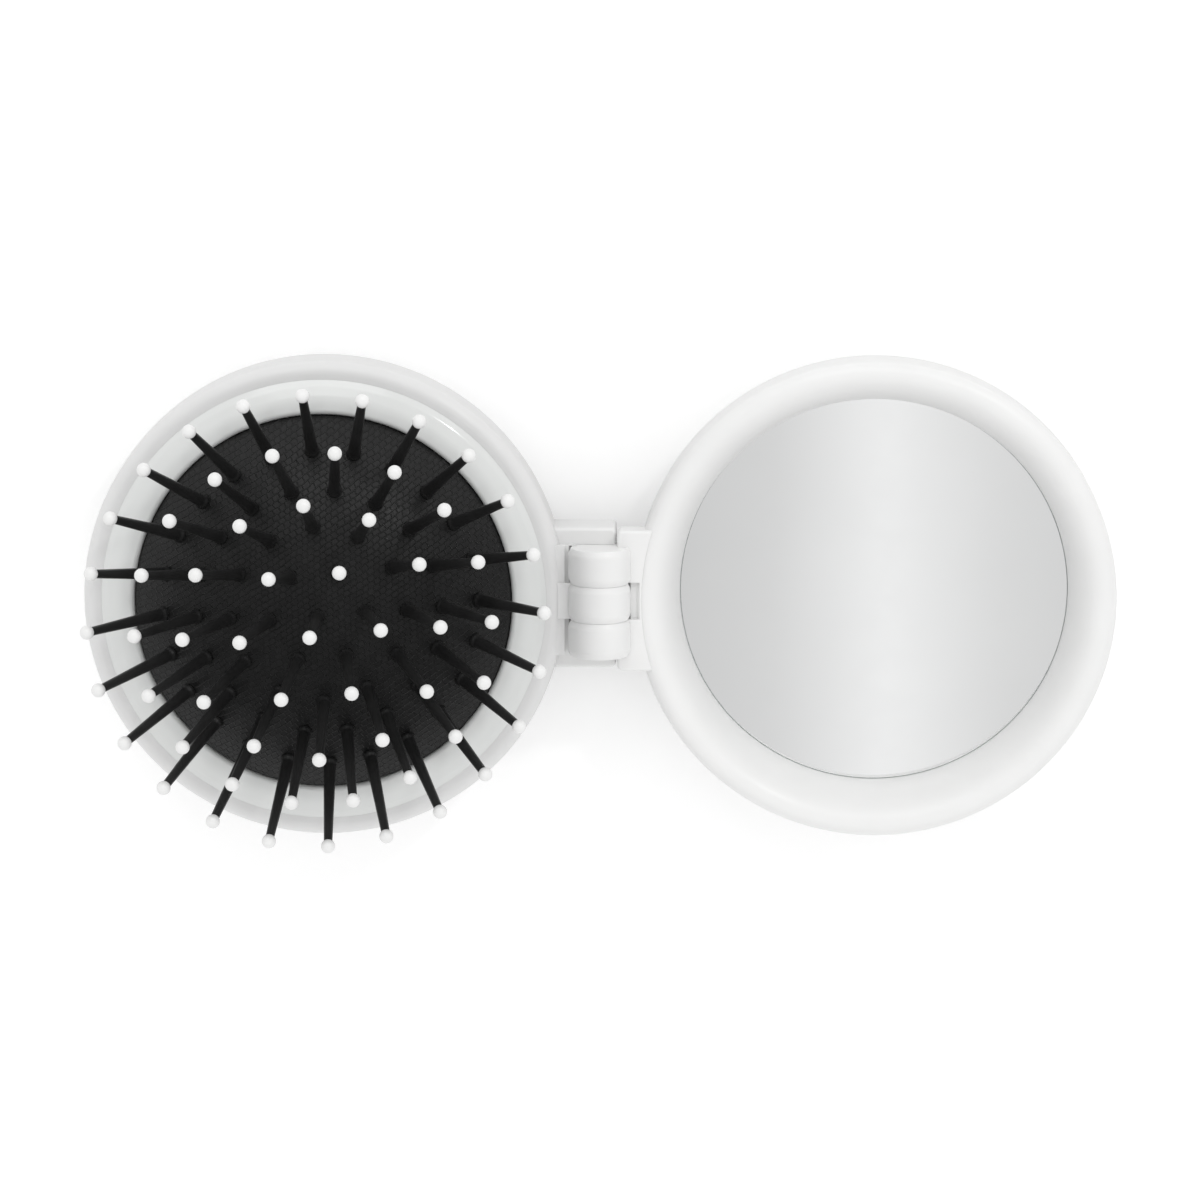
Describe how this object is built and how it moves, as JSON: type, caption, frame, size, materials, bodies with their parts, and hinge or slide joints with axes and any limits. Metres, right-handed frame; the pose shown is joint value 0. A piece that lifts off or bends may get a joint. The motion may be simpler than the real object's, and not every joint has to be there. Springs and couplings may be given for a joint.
{
  "type": "folding hairbrush with mirror",
  "caption": "Round pocket hairbrush that folds flat: one half holds a pop-out rubber pad of ball-tipped pins, the other a round mirror.",
  "frame": {"origin": "middle of the bounding box, on the plane of the two flat backs, below the hinge line", "axes": "+X from the brush half to the mirror half, +Y along the hinge pin, +Z out of the opened faces"},
  "size_m": [0.1394, 0.065, 0.0429],
  "materials": {
    "white_case": "smooth white, softly glossy",
    "gloss_white": "high gloss white",
    "black_rubber": "fine embossed grain",
    "black_pin": "satin black, white ball tips in the visual model",
    "mirror": "silvered behind clear glass",
    "foam_tape": "foam",
    "steel": "drawn wire"
  },
  "bodies": {
    "brush_half": {"brush_shell": "white_case", "pad_retaining_ring": "gloss_white", "rubber_pad": "black_rubber"},
    "mirror_half": {"mirror_frame": "white_case", "mirror_back_cover": "white_case", "mirror_glass": "mirror", "mirror_adhesive": "foam_tape", "hinge_pin": "steel"},
    "pad_middle": {"pins_centre": "black_pin"},
    "pins_ring2_1": {"pins_ring2_1": "black_pin"},
    "pins_ring2_2": {"pins_ring2_2": "black_pin"},
    "pins_ring2_3": {"pins_ring2_3": "black_pin"},
    "pins_ring2_4": {"pins_ring2_4": "black_pin"},
    "pins_ring2_5": {"pins_ring2_5": "black_pin"},
    "pins_ring2_6": {"pins_ring2_6": "black_pin"},
    "pins_ring3_1": {"pins_ring3_1": "black_pin"},
    "pins_ring3_2": {"pins_ring3_2": "black_pin"},
    "pins_ring3_3": {"pins_ring3_3": "black_pin"},
    "pins_ring3_4": {"pins_ring3_4": "black_pin"},
    "pins_ring3_5": {"pins_ring3_5": "black_pin"},
    "pins_ring3_6": {"pins_ring3_6": "black_pin"},
    "pins_ring3_7": {"pins_ring3_7": "black_pin"},
    "pins_ring3_8": {"pins_ring3_8": "black_pin"},
    "pins_ring3_9": {"pins_ring3_9": "black_pin"},
    "pins_ring4_1": {"pins_ring4_1": "black_pin"},
    "pins_ring4_2": {"pins_ring4_2": "black_pin"},
    "pins_ring4_3": {"pins_ring4_3": "black_pin"},
    "pins_ring4_4": {"pins_ring4_4": "black_pin"},
    "pins_ring4_5": {"pins_ring4_5": "black_pin"},
    "pins_ring4_6": {"pins_ring4_6": "black_pin"},
    "pins_ring4_7": {"pins_ring4_7": "black_pin"},
    "pins_ring4_8": {"pins_ring4_8": "black_pin"},
    "pins_ring4_9": {"pins_ring4_9": "black_pin"},
    "pins_ring4_10": {"pins_ring4_10": "black_pin"},
    "pins_ring4_11": {"pins_ring4_11": "black_pin"},
    "pins_ring4_12": {"pins_ring4_12": "black_pin"}
  },
  "joints": [
    {"name": "fold", "type": "hinge", "parent": "brush_half", "child": "mirror_half", "pos_m": [0, 0, 0.015], "axis": [0, -1, 0], "range_deg": [0, 180]},
    {"name": "pad_pop", "type": "slide", "parent": "brush_half", "child": "pad_middle", "axis": [0, 0, -1], "range_m": [0, 0.0229], "deforming": ["rubber_pad"]},
    {"name": "lean_ring2_1", "type": "hinge", "parent": "brush_half", "child": "pins_ring2_1", "pos_m": [-0.02225, 0.07033, 0.01455], "axis": [0.9781, -0.2079, 0], "range_deg": [0, 20.5]},
    {"name": "lean_ring2_2", "type": "hinge", "parent": "brush_half", "child": "pins_ring2_2", "pos_m": [0.03118, 0.02222, 0.01455], "axis": [0.309, -0.9511, 0], "range_deg": [0, 20.5]},
    {"name": "lean_ring2_3", "type": "hinge", "parent": "brush_half", "child": "pins_ring2_3", "pos_m": [0.01623, -0.04811, 0.01455], "axis": [-0.6691, -0.7431, 0], "range_deg": [0, 20.5]},
    {"name": "lean_ring2_4", "type": "hinge", "parent": "brush_half", "child": "pins_ring2_4", "pos_m": [-0.05215, -0.07033, 0.01455], "axis": [-0.9781, 0.2079, 0], "range_deg": [0, 20.5]},
    {"name": "lean_ring2_5", "type": "hinge", "parent": "brush_half", "child": "pins_ring2_5", "pos_m": [-0.10558, -0.02222, 0.01455], "axis": [-0.309, 0.9511, 0], "range_deg": [0, 20.5]},
    {"name": "lean_ring2_6", "type": "hinge", "parent": "brush_half", "child": "pins_ring2_6", "pos_m": [-0.09063, 0.04811, 0.01455], "axis": [0.6691, 0.7431, 0], "range_deg": [0, 20.5]},
    {"name": "lean_ring3_1", "type": "hinge", "parent": "brush_half", "child": "pins_ring3_1", "pos_m": [-0.03948, 0.05225, 0.01395], "axis": [0.999, 0.0436, 0], "range_deg": [0, 29.08]},
    {"name": "lean_ring3_2", "type": "hinge", "parent": "brush_half", "child": "pins_ring3_2", "pos_m": [-0.00536, 0.04149, 0.01395], "axis": [0.7934, -0.6088, 0], "range_deg": [0, 29.08]},
    {"name": "lean_ring3_3", "type": "hinge", "parent": "brush_half", "child": "pins_ring3_3", "pos_m": [0.01386, 0.01132, 0.01395], "axis": [0.2164, -0.9763, 0], "range_deg": [0, 29.08]},
    {"name": "lean_ring3_4", "type": "hinge", "parent": "brush_half", "child": "pins_ring3_4", "pos_m": [0.00919, -0.02415, 0.01395], "axis": [-0.4617, -0.887, 0], "range_deg": [0, 29.08]},
    {"name": "lean_ring3_5", "type": "hinge", "parent": "brush_half", "child": "pins_ring3_5", "pos_m": [-0.01719, -0.04832, 0.01395], "axis": [-0.9239, -0.3827, 0], "range_deg": [0, 29.08]},
    {"name": "lean_ring3_6", "type": "hinge", "parent": "brush_half", "child": "pins_ring3_6", "pos_m": [-0.05293, -0.04988, 0.01395], "axis": [-0.9537, 0.3007, 0], "range_deg": [0, 29.08]},
    {"name": "lean_ring3_7", "type": "hinge", "parent": "brush_half", "child": "pins_ring3_7", "pos_m": [-0.08131, -0.0281, 0.01395], "axis": [-0.5373, 0.8434, 0], "range_deg": [0, 29.08]},
    {"name": "lean_ring3_8", "type": "hinge", "parent": "brush_half", "child": "pins_ring3_8", "pos_m": [-0.08905, 0.00683, 0.01395], "axis": [0.1305, 0.9914, 0], "range_deg": [0, 29.08]},
    {"name": "lean_ring3_9", "type": "hinge", "parent": "brush_half", "child": "pins_ring3_9", "pos_m": [-0.07253, 0.03856, 0.01395], "axis": [0.7373, 0.6756, 0], "range_deg": [0, 29.08]},
    {"name": "lean_ring4_1", "type": "hinge", "parent": "brush_half", "child": "pins_ring4_1", "pos_m": [-0.034, 0.03817, 0.01405], "axis": [0.9965, -0.0837, 0], "range_deg": [0, 38.67]},
    {"name": "lean_ring4_2", "type": "hinge", "parent": "brush_half", "child": "pins_ring4_2", "pos_m": [-0.01534, 0.03145, 0.01405], "axis": [0.8211, -0.5707, 0], "range_deg": [0, 38.67]},
    {"name": "lean_ring4_3", "type": "hinge", "parent": "brush_half", "child": "pins_ring4_3", "pos_m": [-0.00255, 0.01631, 0.01405], "axis": [0.4258, -0.9048, 0], "range_deg": [0, 38.67]},
    {"name": "lean_ring4_4", "type": "hinge", "parent": "brush_half", "child": "pins_ring4_4", "pos_m": [0.00097, -0.0032, 0.01405], "axis": [-0.0837, -0.9965, 0], "range_deg": [0, 38.67]},
    {"name": "lean_ring4_5", "type": "hinge", "parent": "brush_half", "child": "pins_ring4_5", "pos_m": [-0.00575, -0.02186, 0.01405], "axis": [-0.5707, -0.8211, 0], "range_deg": [0, 38.67]},
    {"name": "lean_ring4_6", "type": "hinge", "parent": "brush_half", "child": "pins_ring4_6", "pos_m": [-0.02089, -0.03465, 0.01405], "axis": [-0.9048, -0.4258, 0], "range_deg": [0, 38.67]},
    {"name": "lean_ring4_7", "type": "hinge", "parent": "brush_half", "child": "pins_ring4_7", "pos_m": [-0.0404, -0.03817, 0.01405], "axis": [-0.9965, 0.0837, 0], "range_deg": [0, 38.67]},
    {"name": "lean_ring4_8", "type": "hinge", "parent": "brush_half", "child": "pins_ring4_8", "pos_m": [-0.05906, -0.03145, 0.01405], "axis": [-0.8211, 0.5707, 0], "range_deg": [0, 38.67]},
    {"name": "lean_ring4_9", "type": "hinge", "parent": "brush_half", "child": "pins_ring4_9", "pos_m": [-0.07185, -0.01631, 0.01405], "axis": [-0.4258, 0.9048, 0], "range_deg": [0, 38.67]},
    {"name": "lean_ring4_10", "type": "hinge", "parent": "brush_half", "child": "pins_ring4_10", "pos_m": [-0.07537, 0.0032, 0.01405], "axis": [0.0837, 0.9965, 0], "range_deg": [0, 38.67]},
    {"name": "lean_ring4_11", "type": "hinge", "parent": "brush_half", "child": "pins_ring4_11", "pos_m": [-0.06865, 0.02186, 0.01405], "axis": [0.5707, 0.8211, 0], "range_deg": [0, 38.67]},
    {"name": "lean_ring4_12", "type": "hinge", "parent": "brush_half", "child": "pins_ring4_12", "pos_m": [-0.05351, 0.03465, 0.01405], "axis": [0.9048, 0.4258, 0], "range_deg": [0, 38.67]}
  ],
  "couplings": [
    {"joint": "pad_pop", "follows": "fold", "m_per_rad": 0.0072575},
    {"joint": "lean_ring2_1", "follows": "fold", "ratio": 0.11333},
    {"joint": "lean_ring2_2", "follows": "fold", "ratio": 0.11333},
    {"joint": "lean_ring2_3", "follows": "fold", "ratio": 0.11333},
    {"joint": "lean_ring2_4", "follows": "fold", "ratio": 0.11333},
    {"joint": "lean_ring2_5", "follows": "fold", "ratio": 0.11333},
    {"joint": "lean_ring2_6", "follows": "fold", "ratio": 0.11333},
    {"joint": "lean_ring3_1", "follows": "fold", "ratio": 0.16099},
    {"joint": "lean_ring3_2", "follows": "fold", "ratio": 0.16099},
    {"joint": "lean_ring3_3", "follows": "fold", "ratio": 0.16099},
    {"joint": "lean_ring3_4", "follows": "fold", "ratio": 0.16099},
    {"joint": "lean_ring3_5", "follows": "fold", "ratio": 0.16099},
    {"joint": "lean_ring3_6", "follows": "fold", "ratio": 0.16099},
    {"joint": "lean_ring3_7", "follows": "fold", "ratio": 0.16099},
    {"joint": "lean_ring3_8", "follows": "fold", "ratio": 0.16099},
    {"joint": "lean_ring3_9", "follows": "fold", "ratio": 0.16099},
    {"joint": "lean_ring4_1", "follows": "fold", "ratio": 0.2143},
    {"joint": "lean_ring4_2", "follows": "fold", "ratio": 0.2143},
    {"joint": "lean_ring4_3", "follows": "fold", "ratio": 0.2143},
    {"joint": "lean_ring4_4", "follows": "fold", "ratio": 0.2143},
    {"joint": "lean_ring4_5", "follows": "fold", "ratio": 0.2143},
    {"joint": "lean_ring4_6", "follows": "fold", "ratio": 0.2143},
    {"joint": "lean_ring4_7", "follows": "fold", "ratio": 0.2143},
    {"joint": "lean_ring4_8", "follows": "fold", "ratio": 0.2143},
    {"joint": "lean_ring4_9", "follows": "fold", "ratio": 0.2143},
    {"joint": "lean_ring4_10", "follows": "fold", "ratio": 0.2143},
    {"joint": "lean_ring4_11", "follows": "fold", "ratio": 0.2143},
    {"joint": "lean_ring4_12", "follows": "fold", "ratio": 0.2143}
  ]
}
